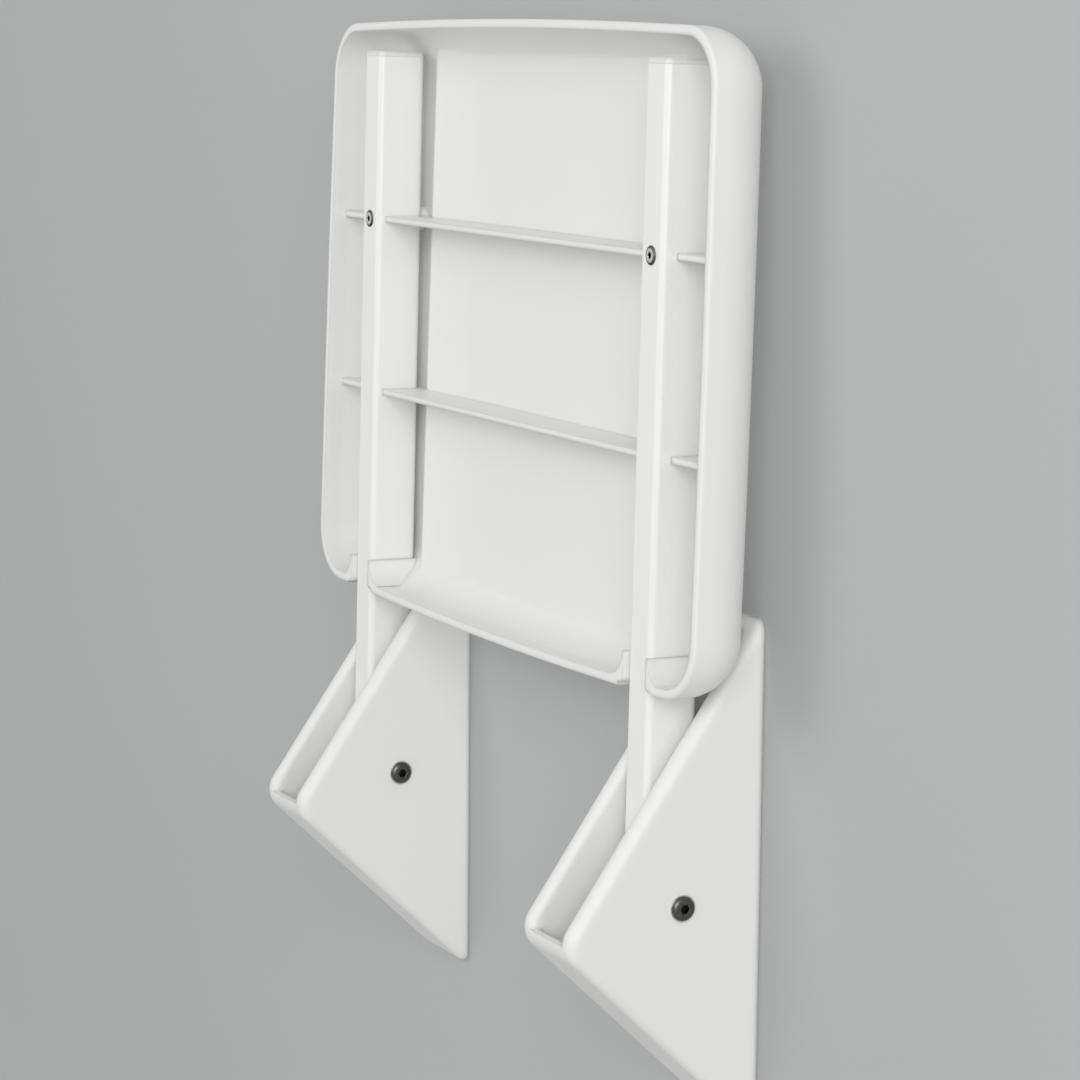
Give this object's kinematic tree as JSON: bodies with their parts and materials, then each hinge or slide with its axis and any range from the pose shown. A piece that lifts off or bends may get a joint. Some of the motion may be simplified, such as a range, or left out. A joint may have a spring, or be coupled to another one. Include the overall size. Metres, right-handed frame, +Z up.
{
  "type": "fold down wall seat",
  "caption": "Moulded seat on two tube arms that folds down from a pair of triangular wall brackets.",
  "frame": {"origin": "on the wall plane, midway between the two brackets, at the centre of the four wall screw holes", "axes": "+X to the right along the wall as seen from the room, +Y into the wall, +Z up; the seat is stored folded up"},
  "size_m": [0.406, 0.0958, 0.4968],
  "materials": {
    "seat_pan": "white moulded plastic, satin to gloss",
    "bracket_left": "white moulded plastic, satin to gloss",
    "arm_left": "white powder coat on aluminium tube",
    "arm_top_plug_left": "white plastic",
    "arm_foot_plug_left": "white plastic",
    "pivot_axle_left": "turned steel",
    "pivot_bush_outer_left": "natural white acetal",
    "pivot_bush_inner_left": "natural white acetal",
    "pivot_bolt_left": "dark steel",
    "pivot_washer_left": "bright steel",
    "pivot_nut_left": "zinc plated steel",
    "seat_screw_left": "dark steel",
    "seat_screw_sleeve_left": "turned steel",
    "seat_insert_left": "brass",
    "bracket_right": "white moulded plastic, satin to gloss",
    "arm_right": "white powder coat on aluminium tube",
    "arm_top_plug_right": "white plastic",
    "arm_foot_plug_right": "white plastic",
    "pivot_axle_right": "turned steel",
    "pivot_bush_outer_right": "natural white acetal",
    "pivot_bush_inner_right": "natural white acetal",
    "pivot_bolt_right": "dark steel",
    "pivot_washer_right": "bright steel",
    "pivot_nut_right": "zinc plated steel",
    "seat_screw_right": "dark steel",
    "seat_screw_sleeve_right": "turned steel",
    "seat_insert_right": "brass"
  },
  "bodies": {
    "wall_brackets": {"bracket_left": "bracket_left", "pivot_axle_left": "pivot_axle_left", "pivot_bolt_left": "pivot_bolt_left", "pivot_washer_left": "pivot_washer_left", "pivot_nut_left": "pivot_nut_left", "bracket_right": "bracket_right", "pivot_axle_right": "pivot_axle_right", "pivot_bolt_right": "pivot_bolt_right", "pivot_washer_right": "pivot_washer_right", "pivot_nut_right": "pivot_nut_right"},
    "seat": {"seat_pan": "seat_pan", "arm_left": "arm_left", "arm_top_plug_left": "arm_top_plug_left", "arm_foot_plug_left": "arm_foot_plug_left", "pivot_bush_outer_left": "pivot_bush_outer_left", "pivot_bush_inner_left": "pivot_bush_inner_left", "seat_screw_left": "seat_screw_left", "seat_screw_sleeve_left": "seat_screw_sleeve_left", "seat_insert_left": "seat_insert_left", "arm_right": "arm_right", "arm_top_plug_right": "arm_top_plug_right", "arm_foot_plug_right": "arm_foot_plug_right", "pivot_bush_outer_right": "pivot_bush_outer_right", "pivot_bush_inner_right": "pivot_bush_inner_right", "seat_screw_right": "seat_screw_right", "seat_screw_sleeve_right": "seat_screw_sleeve_right", "seat_insert_right": "seat_insert_right"}
  },
  "joints": [
    {"name": "seat_fold", "type": "hinge", "parent": "wall_brackets", "child": "seat", "pos_m": [0, -0.04, -0.06], "axis": [1, 0, 0], "range_deg": [0, 91.1]}
  ]
}
